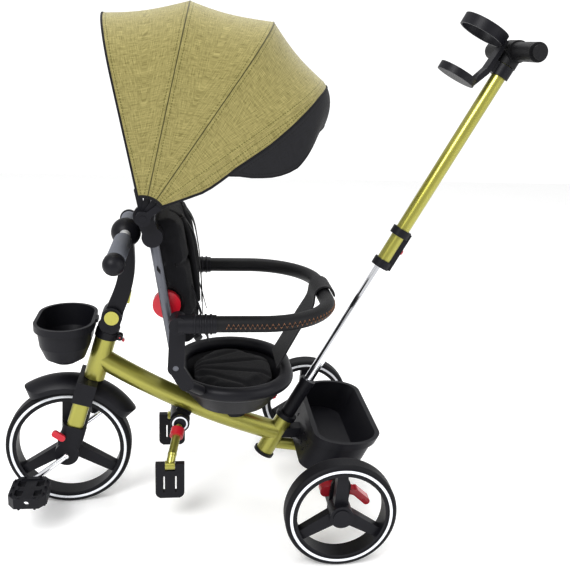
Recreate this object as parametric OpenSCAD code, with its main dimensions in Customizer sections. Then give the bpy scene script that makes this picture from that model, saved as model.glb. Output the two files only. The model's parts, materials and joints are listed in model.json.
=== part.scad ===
// Children's push tricycle with a swivelling seat, folding canopy and telescopic push bar.
// Millimetres. X runs to the rear, Y to the rider's right, Z up. The ground is Z = 0.

/* [Overall] */
// Distance between the front and rear wheel centres
wheelbase = 500; // [430:1:600]
// Distance between the middles of the rear tyres
track = 468; // [400:1:560]
// Height of the seat rim above the top of the main tube
seat_lift = 103.05; // [92:0.05:143]

/* [Wheels] */
// Radius of the front tyre
front_r = 120; // [105:1:145]
// Radius of the rear tyres
rear_r = 100; // [85:1:120]
// Width of every tyre
tyre_w = 36; // [28:1:46]
// Depth of the tyre from tread to rim
tyre_depth = 16; // [10:1:22]
// Width of the groove that takes the reflector band
band_w = 6; // [3:0.5:9]
// Diameter of the rear axle
axle_d = 10; // [8:0.5:14]
// Diameter of the front crank shaft
crank_d = 12; // [10:0.5:16]
// Throw of the crank arms
crank_throw = 70; // [55:1:85]

/* [Frame] */
// Lean of the steering axis from upright
steer_lean = 16.5; // [8:0.5:25]
// Distance the front hub sits ahead of the steering axis
rake = 9; // [0:1:20]
// Outer diameter of the head tube
head_d = 40; // [34:1:48]
// Length of the head tube
head_len = 86; // [60:1:110]
// Outer diameter of the main tube
tube_d = 40; // [30:1:50]
// Angle the main tube bends through
tube_bend = 17; // [8:1:30]
// Outer diameter of the steerer
steerer_d = 26; // [20:1:30]
// Outer diameter of the rear post
post_d = 36; // [30:1:44]
// Length of the rear post
post_len = 82; // [70:1:110]
// Outer diameter of the cross tube that carries the rear axle
cross_d = 26; // [20:1:34]

/* [Fork and handlebar] */
// Thickness of a fork leg across the trike
leg_t = 18; // [12:1:24]
// Width of a fork leg along the trike
leg_w = 32; // [22:1:40]
// Gap between the tyre and each fork leg
leg_gap = 4; // [3:0.5:10]
// Length of the folding stem from its pivot to the bar
stem_len = 162; // [130:1:200]
// Half width of the handlebar
bar_half = 192; // [150:1:220]
// Diameter of the handlebar tube
bar_d = 21; // [16:0.5:25]
// Diameter of the foam grips
grip_d = 32; // [26:1:38]

/* [Seat] */
// Radius of the seat rim at its ends, to its middle line
rim_r = 102; // [90:1:115]
// Half length of the straight part of the seat rim
rim_half = 28; // [10:1:45]
// Diameter of the seat rim
rim_d = 27; // [18:1:34]
// Height of the guard ring above the seat rim
guard_up = 143; // [120:1:170]
// Half width of the guard ring, to its middle line
guard_half = 186; // [178:1:205]
// Diameter of the guard ring
guard_d = 28; // [22:1:34]
// Height of the backrest frame above its pivot
back_h = 256; // [240:1:290]
// Half width of the backrest frame, to its tubes
back_half = 146; // [142:1:150]
// Diameter of the backrest tubes
back_d = 16; // [12:0.5:20]
// Lean of the backrest from upright, towards the handlebar
back_lean = 9.3; // [4:0.1:14]
// Diameter of the seat swivel spindle
spindle_d = 18; // [12:0.5:24]

/* [Canopy] */
// Diameter of the canopy bows
bow_d = 6; // [4:0.5:7]
// Corner radius of the canopy bows
bow_corner = 95; // [60:1:130]
// Thickness of the canopy cloth
cloth_t = 2.5; // [1.5:0.1:4]

/* [Push bar] */
// Lean of the push bar from upright
push_lean = 28.4; // [20:0.1:35]
// Length of the push bar from the post to the handle
push_len = 823; // [700:1:900]
// Diameter of the lower push tube
lower_d = 19; // [16:0.5:24]
// Diameter of the upper push tube
upper_d = 27; // [23:0.5:32]
// Diameter of the handle
handle_d = 34; // [28:1:40]
// Half width of the handle
handle_half = 112; // [80:1:160]
// Inside diameter of the upper cup ring
cup_d = 80; // [66:1:90]

/* [Fits] */
// Radial clearance of a shaft that turns or slides in its bore
run = 0.06; // [0.02:0.01:0.1]
// Clearance between fixed pieces
snug = 0.1; // [0.05:0.05:0.2]
// Clearance between pieces that move past each other
air = 0.6; // [0.4:0.1:1]

/* [Hidden] */
$fn = 64;
// front hub, steering stack and seat stations
hub_x = -wheelbase;
steer_x = hub_x + rake * cos(steer_lean);
steer_z = front_r - rake * sin(steer_lean);
head_lo = front_r + 32;
head_hi = head_lo + head_len;
collar_hi = head_hi + 14;
stem_piv = collar_hi + 32;
leg_y = tyre_w / 2 + leg_gap + leg_t / 2;
drop_y = leg_y + leg_t / 2 + 3.4;
// push bar and post
post_x = -74;
post_z = rear_r + 70;
collar_lo = 361;
collar_len = 84;
// main tube from the middle of the head tube to the post
head_mid = steer_pt(0, head_lo + head_len / 2);
post_mid = push_pt(0, -34);
chord = post_mid - head_mid;
bend_r = norm(chord) / 2 / sin(tube_bend / 2);
chord_a = atan2(chord.y, chord.x);
bend_c = (head_mid + post_mid) / 2
  + bend_r * cos(tube_bend / 2) * [-sin(chord_a), cos(chord_a)];
// seat
seat_x = -176;
tub_x = seat_x - 6;
tube_top = bend_c.y - sqrt(pow(bend_r - tube_d / 2, 2) - pow(seat_x - bend_c.x, 2));
seat_top = tube_top + seat_lift;
rim_z = seat_top - rim_d / 2;
tub_z = seat_top - 68;
arm_y = back_half + back_d / 2 + 4;
arm_t = 12;
arm_x = tub_x - rim_r - 2;
guard_x = arm_x;
guard_z = seat_top + guard_up;
guard_nose = 273;
guard_corner = guard_half - 56;
strap_half = 38;
back_x = tub_x - rim_r - 6;
back_z = seat_top + 56;
// canopy, its pivot stands on the backrest
clamp_s = 234;
canopy_x = back_x - 51;
canopy_z = back_z + 266;
eye_y = arm_y + arm_t + 3;
bow_gap = bow_d / 2 + 1.9;
cloth_half = eye_y + 3 * bow_gap + 1.5 + bow_d / 2 + 0.8 + cloth_t;
bow_angles = [101.5, 77.6, 56, 36.6];
reach_at = [[16, 328], [36.6, 359], [56, 365], [77.6, 336], [101.5, 311]];
visor_end = 18;
// footrest
foot_x = -284;
foot_z = bend_c.y - sqrt(pow(bend_r + tube_d / 2, 2) - pow(foot_x - bend_c.x, 2)) - 14.32;
foot_half = 24;
plate_y = 104;
plate_z = foot_z - 54;
// whole thing centred front to back
handle_x = push_pt(0, push_len).x;
mid_x = (handle_x + handle_d / 2 + 3 + hub_x - front_r) / 2;

// X and Z of a point a long way up the steering axis and b behind it
function steer_pt(b, a) =
  [steer_x + a * sin(steer_lean) + b * cos(steer_lean),
   steer_z + a * cos(steer_lean) - b * sin(steer_lean)];
// X and Z of a point d along the push bar and b behind its axis
function push_pt(b, d) =
  [post_x + d * sin(push_lean) + b * cos(push_lean),
   post_z + d * cos(push_lean) - b * sin(push_lean)];
// X and Z of a point s up the backrest and b in front of its tubes
function back_pt(b, s) =
  [back_x - s * sin(back_lean) + b * cos(back_lean),
   back_z + s * cos(back_lean) + b * sin(back_lean)];
module place() translate([-mid_x, 0, 0]) children();
module steer() translate([steer_x, 0, steer_z]) rotate([0, steer_lean, 0]) children();
module push() translate([post_x, 0, post_z]) rotate([0, push_lean, 0]) children();
module recline() translate([back_x, 0, back_z]) rotate([0, -back_lean, 0]) children();
module both() {
  children();
  mirror([0, 1, 0]) children();
}

// round bar from a to b
module rod(a, b, r) {
  d = b - a;
  translate(a)
    rotate([0, acos(d.z / norm(d)), atan2(d.y, d.x)])
      cylinder(h = norm(d), r = r);
}
// round bar along Y through x, z
module cross(x, z, r, y0, y1) {
  translate([x, y1, z]) rotate([90, 0, 0]) cylinder(h = y1 - y0, r = r);
}
// outline drawn in X and Z, given thickness from y0 to y1
module slab(y0, y1) {
  translate([0, y1, 0]) rotate([90, 0, 0]) linear_extrude(y1 - y0) children();
}
// flat bar with round ends a little wider than its straight sides
module link(a, b, w) {
  d = b - a;
  flat = w - 0.4;
  translate(a) circle(d = w);
  translate(b) circle(d = w);
  translate(a) rotate(atan2(d.y, d.x)) translate([0, -flat / 2]) square([norm(d), flat]);
}
// solid between two rounded plan shapes of different radius
module rounded_cone(r0, r1, z0, z1, half) {
  for (s = [-1, 1]) translate([0, s * half, z0]) cylinder(h = z1 - z0, r1 = r0, r2 = r1);
  slab(-half, half) polygon([[-r0, z0], [r0, z0], [r1, z1], [-r1, z1]]);
}
// closed ring of round bar that follows the same plan shape
module rounded_ring(r, half, d) {
  for (s = [0, 1])
    mirror([0, s, 0]) translate([0, half, 0])
      rotate_extrude(angle = 180) translate([r, 0]) circle(d = d);
  for (s = [-1, 1]) cross(s * r, 0, d / 2, -half, half);
}
module main_arc(r) {
  translate([bend_c.x, 0, bend_c.y])
    rotate([90, 0, 0])
      rotate([0, 0, chord_a + 270 - tube_bend / 2])
        rotate_extrude(angle = tube_bend) translate([bend_r, 0]) circle(r = r);
}

// straight bar along the main tube where it passes x
module tube_near(x, r) {
  a = acos((x - bend_c.x) / bend_r);
  translate([x, 0, bend_c.y - bend_r * sin(a)])
    rotate([0, a, 0]) translate([0, 0, -60]) cylinder(h = 120, r = r);
}

// ---- frame ----
module main_frame() color([0.6, 0.62, 0.2]) place() {
  difference() {
    union() {
      steer() translate([0, 0, head_lo]) cylinder(h = head_len, d = head_d);
      main_arc(tube_d / 2);
      push() translate([0, 0, -post_len]) cylinder(h = post_len - snug, d = post_d);
      rod([post_mid.x - 8, 0, post_mid.y - 26], [0, 0, rear_r], cross_d / 2 - 1);
      cross(0, rear_r, cross_d / 2, -track / 2 + 59, track / 2 - 59);
    }
    steer() translate([0, 0, head_lo - 1]) cylinder(h = head_len + 2, r = steerer_d / 2 + run);
    push() translate([0, 0, -46]) cylinder(h = 47, r = lower_d / 2 + snug);
    cross(0, rear_r, axle_d / 2 + snug, -track / 2, track / 2);
  }
}
module frame_end_cap() color([0.13, 0.13, 0.15]) place() {
  push() translate([0, 0, -post_len - 6 - snug]) cylinder(h = 6, d = post_d + 6);
}
module rear_axle() color([0.75, 0.76, 0.78]) place() {
  cross(0, rear_r, axle_d / 2, -track / 2 - tyre_w / 2 + 1, track / 2 + tyre_w / 2 - 1);
}
// brake cheeks stand just inside each rear wheel
brake_in = track / 2 - 56;
brake_out = track / 2 - 22;
brake_z = rear_r + 26;
module brake_housings() color([0.14, 0.14, 0.16]) place() both() {
  difference() {
    slab(brake_in, brake_out) {
      link([0, rear_r], [4, brake_z + 10], 36);
    }
    slab(brake_in + 7, brake_out - 7) translate([-40, rear_r + 10.5]) square([80, 62]);
    cross(0, rear_r, axle_d / 2 + snug, 0, track);
    cross(0, brake_z, 3 + run, 0, track);
  }
}
module brake_lever() {
  slab(brake_in + 7 + air, brake_out - 7 - air) {
    link([0, brake_z], [-22, brake_z - 4], 20);
    link([0, brake_z], [34, brake_z - 8], 11);
    link([34, brake_z - 8], [54, brake_z - 26], 13);
  }
  cross(0, brake_z, 3, brake_in + 1, brake_out - 1);
}
module brake_lever_right() color([0.75, 0.1, 0.15]) place() brake_lever();
module brake_lever_left() color([0.75, 0.1, 0.15]) place() mirror([0, 1, 0]) brake_lever();

// rounded basket behind the post, it leans back as it rises
basket_half = 141;
basket_lo = rear_r + 22;
basket_hi = rear_r + 84;
module basket_block(grow, z0, z1) {
  c = 49;
  intersection() {
    translate([2, 0, basket_lo]) rotate([0, 27, 0]) translate([0, 0, -80]) linear_extrude(240) {
      for (x = [-3, 3], s = [-1, 1])
        translate([x, s * (basket_half - c)]) circle(r = c + grow);
      square([6 + 2 * (c + grow), 2 * (basket_half - c)], center = true);
      square([6, 2 * (basket_half + grow)], center = true);
    }
    translate([-200, -track / 2, z0]) cube([400, track, z1 - z0]);
  }
}
module rear_basket() color([0.13, 0.13, 0.15]) place() {
  difference() {
    union() {
      basket_block(0, basket_lo, basket_hi - 1);
      basket_block(5, basket_hi - 13, basket_hi);
      translate([-86, -14, basket_lo + 9]) cube([46, 28, 20]);
    }
    basket_block(-3.2, basket_lo + 3.2, basket_hi + 1);
    push() translate([0, 0, -post_len]) cylinder(h = 2 * post_len, r = post_d / 2 + snug);
    both() for (i = [0:2], j = [0:1])
      translate([-80, 30 + i * 24 + j * 12, basket_lo + 18 + j * 14])
        rotate([0, 90, 0]) cylinder(h = 75, d = 7);
  }
}
module push_sleeve() color([0.12, 0.12, 0.14]) place() push() {
  difference() {
    union() {
      cylinder(h = 10, d = post_d + 6);
      cylinder(h = 93, d = lower_d + 9);
      translate([0, 0, 84]) cylinder(h = 9, d = lower_d + 12);
    }
    translate([0, 0, -1]) cylinder(h = 100, r = lower_d / 2 + snug);
  }
}
module push_tube_lower() color([0.8, 0.81, 0.83]) place() push() {
  translate([0, 0, -44]) difference() {
    cylinder(h = collar_lo + 44 + 120, d = lower_d);
    translate([0, 0, -1]) cylinder(h = collar_lo + 44 + 122, d = lower_d - 3);
  }
}
clip_b = head_d / 2 + 5;
module steering_collar() color([0.13, 0.13, 0.15]) place() steer() {
  difference() {
    union() {
      translate([0, 0, head_hi + snug]) cylinder(h = 14 - snug, d = head_d + 4);
      slab(-9, 9) link([head_d / 2 - 2, head_hi + 7], [clip_b, head_hi + 7], 11);
    }
    translate([0, 0, head_hi - 1]) cylinder(h = 20, r = steerer_d / 2 + run);
    translate([head_d / 2 + 2.2, -4.5, head_hi - 2]) cube([20, 9, 20]);
    cross(clip_b, head_hi + 7, 2 + run, -10, 10);
  }
}
module lock_clip() color([0.75, 0.1, 0.15]) place() steer() {
  slab(-4, 4) link([clip_b, head_hi + 7], [clip_b + 8, head_hi + 2], 5);
  cross(clip_b, head_hi + 7, 2, -8, 8);
}
module footrest_bracket() color([0.14, 0.14, 0.16]) place() {
  difference() {
    union() {
      cross(foot_x, foot_z, 19, -foot_half, foot_half);
      slab(-foot_half + 8, foot_half - 8) link([foot_x, foot_z], [foot_x + 7, foot_z + 14], 30);
    }
    tube_near(foot_x, tube_d / 2 + snug);
    cross(foot_x, foot_z, 8 + run, -60, 60);
    for (s = [-1, 1]) cross(foot_x, foot_z, 15.5, s * foot_half - 0.8, s * foot_half + 0.8);
  }
}
module seat_saddle() color([0.12, 0.12, 0.14]) place() {
  difference() {
    union() {
      translate([seat_x, 0, tube_top - 9])
        cylinder(h = tub_z - 14 - tube_top + 9, r1 = 22, r2 = 30);
      translate([seat_x, 0, tub_z - 15]) cylinder(h = 16, d = spindle_d);
    }
    tube_near(seat_x, tube_d / 2 + 7 * snug);
  }
}

// ---- wheels, built round the origin with the axle along Y ----
module tyre(r) {
  rotate([90, 0, 0]) rotate_extrude() difference() {
    union() {
      translate([r - tyre_depth, -tyre_w / 2]) square([tyre_depth - 7, tyre_w]);
      translate([r - tyre_depth, -tyre_w / 2 + 7]) square([tyre_depth, tyre_w - 14]);
      for (s = [-1, 1]) translate([r - 7, s * (tyre_w / 2 - 7)]) circle(r = 7);
    }
    translate([r - tyre_depth - 1, -tyre_w]) square([1 + snug, 2 * tyre_w]);
    for (s = [-1, 1])
      translate([r - tyre_depth + 2, s * tyre_w / 2 - 0.8]) square([band_w, 1.6]);
  }
}
module rim(r, out) {
  ri = r - tyre_depth;
  difference() {
    union() {
      difference() {
        cross(0, 0, ri, -tyre_w / 2 + 1, tyre_w / 2 - 1);
        cross(0, 0, ri - 5, -tyre_w, tyre_w);
      }
      for (i = [0:2])
        rotate([0, 120 * i, 0])
          slab(-9, 9) polygon([[-13, 10], [13, 10], [9, ri - 3], [-9, ri - 3]]);
      cross(0, 0, 21, -tyre_w / 2 + 2, tyre_w / 2 + out);
      cross(0, 0, 15, -tyre_w / 2 + 2, tyre_w / 2 + out + 2);
    }
    children();
  }
}
module rear_tyre_left() color([0.09, 0.09, 0.1]) place()
  translate([0, -track / 2, rear_r]) tyre(rear_r);
module rear_tyre_right() color([0.09, 0.09, 0.1]) place()
  translate([0, track / 2, rear_r]) tyre(rear_r);
module rear_rim(r) {
  translate([0, track / 2, r])
    rim(r, 2) cross(0, 0, axle_d / 2 + run, -tyre_w, tyre_w / 2);
}
module rear_rim_right() color([0.15, 0.15, 0.17]) place() rear_rim(rear_r);
module rear_rim_left() color([0.15, 0.15, 0.17]) place() mirror([0, 1, 0]) rear_rim(rear_r);
module front_tyre() color([0.09, 0.09, 0.1]) place()
  translate([hub_x, 0, front_r]) tyre(front_r);
module front_rim() color([0.15, 0.15, 0.17]) place()
  translate([hub_x, 0, front_r])
    rim(front_r, -0.5) cross(0, 0, crank_d / 2 + run, -tyre_w, tyre_w);

// ---- push bar ----
module push_tube_upper() color([0.62, 0.64, 0.2]) place() push() {
  translate([0, 0, collar_lo + 7]) difference() {
    cylinder(h = push_len - handle_d / 2 - 8 - collar_lo, d = upper_d);
    translate([0, 0, -1])
      cylinder(h = push_len - handle_d / 2 - 12 - collar_lo, r = lower_d / 2 + run);
  }
}
module slider_collar() color([0.12, 0.12, 0.14]) place() push() {
  difference() {
    union() {
      translate([0, 0, collar_lo]) cylinder(h = 16, d = upper_d + 9);
      translate([0, 0, collar_lo + collar_len - 15]) cylinder(h = 15, d = upper_d + 11);
      translate([upper_d / 2 - 5, -10, collar_lo + 2]) cube([11, 20, collar_len - 4]);
    }
    translate([0, 0, collar_lo - 1]) cylinder(h = 20, r = lower_d / 2 + run);
    translate([0, 0, collar_lo + 7 - snug]) cylinder(h = collar_len, d = upper_d + 2 * snug);
    translate([upper_d / 2 + 1.5, 0, collar_lo + 44]) rotate([0, 90, 0]) cylinder(h = 9, r = 5.4);
  }
}
module slider_button() color([0.75, 0.1, 0.15]) place() push()
  translate([upper_d / 2 + 4.4, 0, collar_lo + 44]) rotate([0, 90, 0]) cylinder(h = 6, r = 5);
module push_handle() color([0.11, 0.11, 0.12]) place() {
  difference() {
    union() {
      push() translate([0, 0, push_len - handle_d / 2 - 12]) cylinder(h = 22, d = upper_d + 10);
      translate([handle_x, 0, push_pt(0, push_len).y]) {
        cross(0, 0, handle_d / 2, -handle_half + 8, handle_half - 8);
        cross(0, 0, handle_d / 2 + 3, -20, 20);
        for (s = [-1, 1]) cross(0, 0, handle_d / 2 - 4, s * handle_half - 8, s * handle_half + 8);
      }
    }
    for (s = [-1, 1])
      translate([handle_x, s * (handle_half + 20), push_pt(0, push_len).y])
        cube([80, 40, 80], center = true);
    push() translate([0, 0, push_len - 120])
      cylinder(h = 120 - handle_d / 2 - 1 + snug, d = upper_d + 2 * snug);
  }
}
cup_b = -70;
module cup_holder() color([0.12, 0.12, 0.14]) place() push() {
  top = push_len - 8;
  difference() {
    union() {
      translate([cup_b, 0, top]) cylinder(h = 20, d = cup_d + 8);
      translate([cup_b, 0, top - 86]) cylinder(h = 14, d = cup_d - 6);
      slab(-13, 13) polygon([
        [cup_b + 20, top - 86], [cup_b + 33, top - 86], [cup_b + 47, top - 50],
        [cup_b + 47, top + 14], [cup_b + 41, top + 14], [cup_b + 38, top - 44],
        [cup_b + 30, top - 68], [cup_b + 20, top - 74],
      ]);
      translate([0, 0, top - 44]) cylinder(h = 22, d = upper_d + 8);
      slab(-10, 10) polygon([
        [cup_b + 42, top - 44], [-upper_d / 2 - 2, top - 44],
        [-upper_d / 2 - 2, top - 22], [cup_b + 42, top - 22],
      ]);
    }
    translate([cup_b, 0, top - 1]) cylinder(h = 40, d = cup_d);
    translate([cup_b, 0, top - 83]) cylinder(h = 60, d = cup_d - 12);
    translate([0, 0, top - 60]) cylinder(h = 50, d = upper_d + 2 * snug);
    translate([4, -8, top - 60]) cube([40, 16, 50]);
  }
}

// ---- fork, front wheel and cranks ----
module leg_section(grow) {
  for (s = [-1, 1]) translate([s * (leg_w - leg_t) / 2, 0]) circle(d = leg_t + 2 * grow);
  square([leg_w - leg_t, leg_t + 2 * grow], center = true);
}
leg_lo = 46;
module fork_shape(grow) {
  translate([0, 0, front_r + 8]) cylinder(h = stem_piv - 22 - front_r - 8, r = steerer_d / 2 + grow);
  both() translate([-rake, leg_y, leg_lo - grow])
    linear_extrude(front_r + 8 - leg_lo + grow) leg_section(grow);
  translate([-rake - leg_w / 2 - grow, -leg_y - leg_t / 2 - grow, front_r + 8 - grow])
    cube([leg_w + 2 * grow, 2 * leg_y + leg_t + 2 * grow, 16 + 2 * grow]);
}
module fork_legs() color([0.6, 0.62, 0.2]) place() steer() fork_shape(0);
// mudguard: a crowned shell over the tyre with rounded ends
wing_y = tyre_w / 2 + 15;
module wing(r, y, low) {
  ends = [43, 109];
  intersection() {
    rotate([90, 0, 0]) rotate([0, 0, ends[0] - 20]) rotate_extrude(angle = ends[1] - ends[0] + 40)
      intersection() {
        translate([front_r - 10, 0]) circle(r = r);
        translate([low, -y]) square([80, 2 * y]);
      }
    union() {
      slab(-60, 60) polygon([
        70 * [cos(ends[0]), sin(ends[0])], 250 * [cos(ends[0]), sin(ends[0])],
        [0, 330], 250 * [cos(ends[1]), sin(ends[1])], 70 * [cos(ends[1]), sin(ends[1])],
      ]);
      for (a = ends)
        rotate([0, 90 - a, 0]) translate([0, 0, 60]) cylinder(h = 180, r = y + 0.4);
    }
  }
}
module mudguard() color([0.12, 0.12, 0.14]) place() {
  difference() {
    union() {
      translate([hub_x, 0, front_r]) difference() {
        wing(40, wing_y, front_r + 3);
        wing(37, wing_y - 3, front_r);
      }
      steer() translate([-rake - leg_w / 2 - 3, -leg_y - leg_t / 2 - 4, front_r - 12])
        cube([leg_w + 6, 2 * leg_y + leg_t + 8, 43]);
    }
    steer() fork_shape(snug);
    translate([hub_x, 0, front_r]) cross(0, 0, front_r + 5, -leg_y + leg_t / 2 + 0.2, leg_y - leg_t / 2 - 0.2);
    steer() translate([0, 0, 60]) cylinder(h = 2 * front_r, r = steerer_d / 2 + snug);
  }
}
drop_w = leg_w + 8;
clutch = [-26, 34];
module fork_dropouts() color([0.12, 0.12, 0.14]) place() steer() {
  difference() {
    both() translate([0, leg_y, 0]) {
      translate([-rake, 0, 0]) linear_extrude(58) {
        for (s = [-1, 1])
          translate([s * (drop_w / 2 - 10), 0]) circle(r = 10 + 2.4);
        square([drop_w - 20, 24.8], center = true);
      }
      cross(-rake, 0, 23, -12.4, 12.4);
      slab(-12.4, 12.4) link([-rake, 20], [clutch.x + 4, clutch.y - 6], 22);
    }
    both() translate([-rake, leg_y, leg_lo - snug]) linear_extrude(60) leg_section(snug);
    cross(-rake, 0, crank_d / 2 + run, -80, 80);
    cross(-rake, 0, 22, -tyre_w / 2 - 2.5, tyre_w / 2 + 2.5);
    cross(clutch.x, clutch.y, 3 + run, -80, -30);
  }
}
module clutch_lever() color([0.8, 0.1, 0.15]) place() steer() {
  y0 = -leg_y - 12.4 - air;
  slab(y0 - 6, y0) link(clutch, clutch + [-14, 5], 13);
  cross(clutch.x, clutch.y, 3, y0, y0 + 12);
}
crank_a = 214;
arm_out = leg_y + 12.4 + 6.5;
module crank() color([0.8, 0.81, 0.83]) place() translate([hub_x, 0, front_r]) {
  cross(0, 0, crank_d / 2, -arm_out, arm_out);
  for (s = [-1, 1]) {
    tip = s * crank_throw * [cos(crank_a), sin(crank_a)];
    translate([0, -s * arm_out, 0]) sphere(d = crank_d);
    rod([0, -s * arm_out, 0], [tip.x, -s * (arm_out + 14), tip.y], crank_d / 2 - 1);
    translate([tip.x, -s * (arm_out + 14), tip.y]) sphere(d = crank_d);
    rod([tip.x, -s * (arm_out + 14), tip.y], [tip.x, -s * (arm_out + 96), tip.y], 5);
  }
}
module pedal(s) {
  tip = s * crank_throw * [cos(crank_a), sin(crank_a)];
  y0 = -s * (arm_out + 22);
  translate([hub_x + tip.x, 0, front_r + tip.y]) difference() {
    union() {
      translate([0, y0 - s * 39, 0]) difference() {
        linear_extrude(20, center = true)
          polygon([[-34, -24], [-22, -39], [22, -39], [34, -24],
                   [34, 24], [22, 39], [-22, 39], [-34, 24]]);
        for (m = [-1, 1], n = [-1, 1])
          translate([m * 17, n * 16, 0]) cube([14, 18, 60], center = true);
        for (n = [-1, 1]) translate([0, 0, n * 12]) cube([40, 60, 8], center = true);
      }
      for (m = [-1, 1], n = [-1:1], k = [-1, 1])
        translate([m * 29, y0 - s * 39 + n * 22, k * 11.5]) cylinder(h = 5, r = 2.2, center = true);
      for (m = [-1, 1], n = [-1, 1])
        translate([m * 14, y0 - s * 39 + n * 36, 0]) cylinder(h = 26, r = 2.2, center = true);
    }
    cross(0, 0, 5 + run, -400, 400);
  }
}
module pedal_left() color([0.1, 0.1, 0.11]) place() pedal(1);
module pedal_right() color([0.1, 0.1, 0.11]) place() pedal(-1);

// ---- stem and handlebar ----
stem_p = steer_pt(0, stem_piv);
stem_lean = 10;
bar_x = stem_p.x + stem_len * sin(stem_lean);
bar_z = stem_p.y + stem_len * cos(stem_lean);
cheek = 13.5;
module stem_knuckle() color([0.12, 0.12, 0.14]) place() steer() {
  difference() {
    union() {
      translate([0, 0, collar_hi + air]) cylinder(h = 11, d = head_d + 2);
      slab(-20.5, 20.5) link([0, collar_hi + 18], [0, stem_piv], 38);
    }
    translate([0, 0, collar_hi - 1]) cylinder(h = 13, r = steerer_d / 2 + snug);
    slab(-cheek - air / 2, cheek + air / 2) {
      translate([-40, collar_hi + 11.6 - air]) square([80, 80]);
    }
    cross(0, stem_piv, 6 + snug, -40, 40);
    translate([-60, -40, collar_hi - 20]) cube([120, 80, 20 + air]);
  }
}
module stem_pivot_bolt() color([0.55, 0.57, 0.2]) place() steer() {
  cross(0, stem_piv, 6, -21, 21);
  for (s = [-1, 1]) cross(0, stem_piv, 13.5, s * 22.2 - 1.5, s * 22.2 + 1.5);
}
function stem_mid(t) = 13 * sin(180 * t);
function stem_half(t) = 17 - 5 * t;
module stem() color([0.11, 0.11, 0.12]) place() {
  translate([stem_p.x, 0, stem_p.y]) rotate([0, stem_lean, 0]) difference() {
    union() {
      slab(-cheek, cheek) {
        circle(r = 19.4);
        polygon([
          for (i = [0:12]) let (t = i / 12) [stem_mid(t) - stem_half(t), stem_len * t],
          for (i = [12:-1:0]) let (t = i / 12) [stem_mid(t) + stem_half(t), stem_len * t],
        ]);
      }
      intersection() {
        translate([0, 0, stem_len]) sphere(r = 27);
        translate([-40, -25, stem_len - 40]) cube([80, 50, 80]);
      }
    }
    cross(0, 0, 6 + run, -40, 40);
    cross(0, stem_len, bar_d / 2 + snug, -40, 40);
    translate([stem_mid(0.24) + stem_half(0.24) - 6, -5.5, 28]) cube([20, 11, 25]);
  }
}
module stem_button() color([0.45, 0.46, 0.2]) place()
  translate([stem_p.x, 0, stem_p.y]) rotate([0, stem_lean, 0])
    translate([stem_mid(0.24) + stem_half(0.24) - 2.6, -5, 28.5]) cube([5.4, 10, 24]);
bar_bend = 46;
bar_tip = [bar_x - 8, bar_half, bar_z - 14];
bar_elbow = [bar_x, bar_bend, bar_z];
function bar_at(t) = bar_elbow + t * (bar_tip - bar_elbow);
module handlebar() color([0.9, 0.91, 0.92]) place() {
  cross(bar_x, bar_z, bar_d / 2, -bar_bend, bar_bend);
  both() {
    translate(bar_elbow) sphere(d = bar_d + 0.6);
    rod(bar_elbow, bar_at(0.93), bar_d / 2);
  }
}
module handlebar_grips() color([0.42, 0.43, 0.47]) place() both() difference() {
  rod(bar_at(0.11), bar_at(0.83), grip_d / 2);
  rod(bar_at(0.05), bar_at(0.93), bar_d / 2 + snug);
}
module handlebar_ends() color([0.08, 0.08, 0.09]) place() both() difference() {
  union() {
    rod(bar_at(0.835), bar_at(0.9), grip_d / 2 + 2);
    translate(bar_at(0.9)) sphere(r = grip_d / 2 + 2.4);
  }
  rod(bar_at(0.7), bar_at(0.93) + snug * [0, 1, 0], bar_d / 2 + snug);
  rod(bar_at(0.5), bar_at(0.834), grip_d);
}
module front_basket() color([0.13, 0.13, 0.15]) place()
  translate([hub_x + 4, 0, steer_pt(0, collar_hi + 28).y]) {
    difference() {
      union() {
        rounded_cone(20, 36, -78, -68, 28);
        rounded_cone(36, 46, -68, -44, 28);
        rounded_cone(46, 51, -44, -2, 28);
        rounded_cone(55, 55, -13, 0, 28);
        translate([48, -12, -7.6]) cube([11, 24, 6.6]);
      }
      rounded_cone(17, 33.5, -75, -66.5, 28);
      rounded_cone(33.5, 43.2, -66.51, -42, 28);
      rounded_cone(43.2, 49, -42.01, 1, 28);
    }
  }

// ---- footrest ----
strut_a = [foot_x - 2, foot_half + 12, foot_z - 5];
strut_b = [foot_x - 14, plate_y - 14, plate_z + 16];
strut_c = [foot_x - 18, plate_y, plate_z];
module footrest_struts() color([0.6, 0.62, 0.2]) place() {
  cross(foot_x, foot_z, 8, -foot_half - 14, foot_half + 14);
  both() {
    cross(foot_x, foot_z, 12, foot_half + air, foot_half + 14);
    rod(strut_a, strut_b, 8);
    translate(strut_b) sphere(r = 8.6);
    rod(strut_b, strut_c, 8);
    translate(strut_c - [9, 0, 0]) rotate([0, 90, 0]) cylinder(h = 18, r = 8.6);
    translate(strut_c - [22, 0, 0]) rotate([0, 90, 0]) cylinder(h = 44, r = 3);
  }
}
module footrest_collars() color([0.8, 0.1, 0.15]) place() both() {
  d = (strut_b - strut_a) / norm(strut_b - strut_a);
  difference() {
    rod(strut_a + 10 * d, strut_a + 27 * d, 13);
    rod(strut_a + 5 * d, strut_b, 8 + snug);
    cross(foot_x, foot_z, 13, 0, foot_half + 15);
  }
}
module foot_plate() {
  difference() {
    slab(plate_y - 6, plate_y + 6) difference() {
      union() {
        translate([strut_c.x - 27, plate_z - 52]) square([54, 57]);
        translate([strut_c.x - 19, plate_z - 66]) square([38, 30]);
        for (s = [-1, 1]) translate([strut_c.x + s * 15, plate_z - 54]) circle(r = 12);
      }
      translate([strut_c.x - 9.6, plate_z - 9]) square([19.2, 40]);
      for (s = [-1, 1]) translate([strut_c.x + s * 11 - 1.5, plate_z - 54]) square([3, 34]);
    }
    translate([strut_c.x - 30, plate_y, plate_z]) rotate([0, 90, 0]) cylinder(h = 60, r = 3 + run);
  }
}
module foot_plate_right() color([0.1, 0.1, 0.11]) place() foot_plate();
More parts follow.
